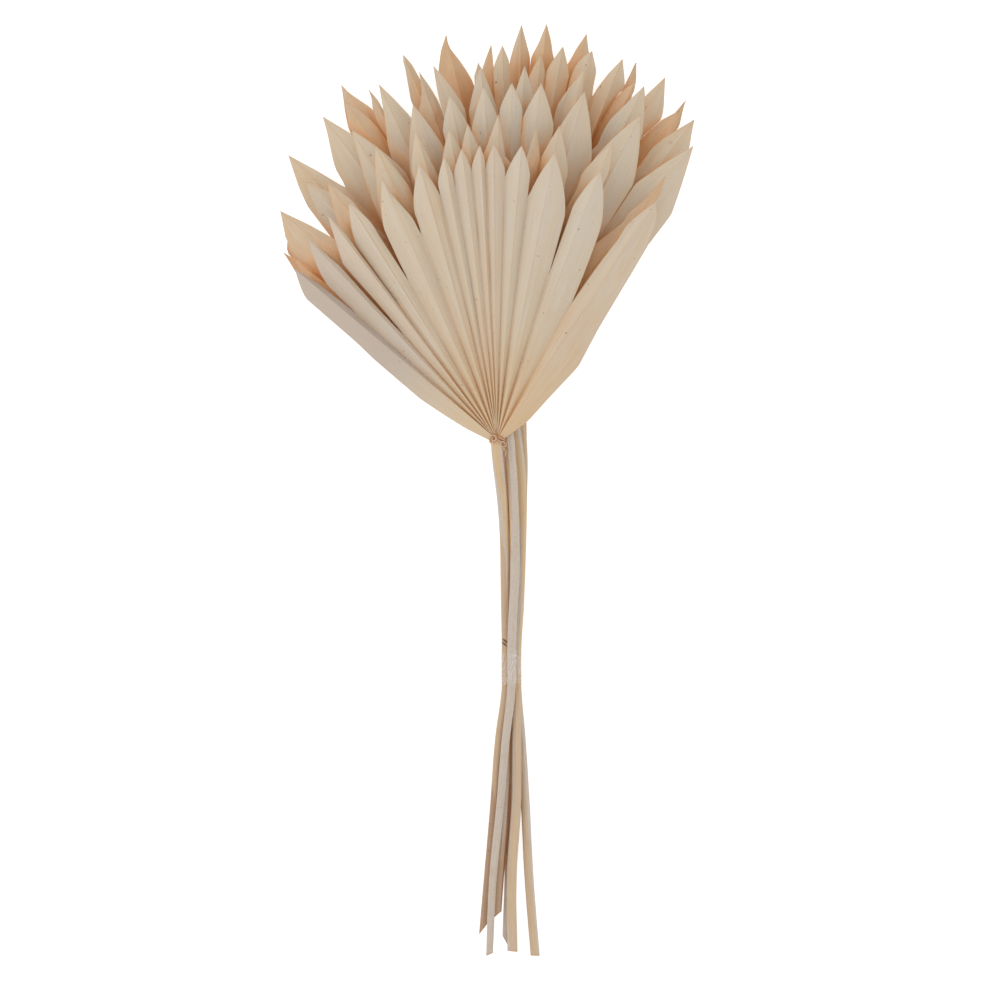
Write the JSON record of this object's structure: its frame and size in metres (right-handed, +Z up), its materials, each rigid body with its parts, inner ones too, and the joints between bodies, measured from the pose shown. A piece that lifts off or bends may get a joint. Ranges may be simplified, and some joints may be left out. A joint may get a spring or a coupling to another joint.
{
  "type": "dried sun palm leaf bunch",
  "caption": "Flat-lying bunch of dried, sun-cut palm fan leaves: pleated fans with pointed tips, stacked on stems bound by clear film.",
  "frame": {"origin": "on the surface the bunch lies on, under the middle of its bounding box", "axes": "+Y along the stems towards the leaf tips, +Z up out of the surface, +X to the right of the pictured view"},
  "size_m": [0.2311, 0.521, 0.0761],
  "materials": {
    "leaf_cream": "matt dried leaf, cream",
    "leaf_amber": "matt dried leaf, cream with amber shade",
    "leaf_straw": "matt dried leaf, straw",
    "leaf_tan": "matt dried leaf, tan",
    "leaf_brown": "matt dried leaf, brown",
    "clear_film": "clear glossy film"
  },
  "bodies": {
    "root": {"palm_leaf_1": "leaf_cream", "palm_leaf_2": "leaf_amber", "palm_leaf_3": "leaf_cream", "palm_leaf_4": "leaf_straw", "palm_leaf_5": "leaf_tan", "palm_leaf_6": "leaf_brown", "stem_tie": "clear_film"}
  },
  "joints": []
}
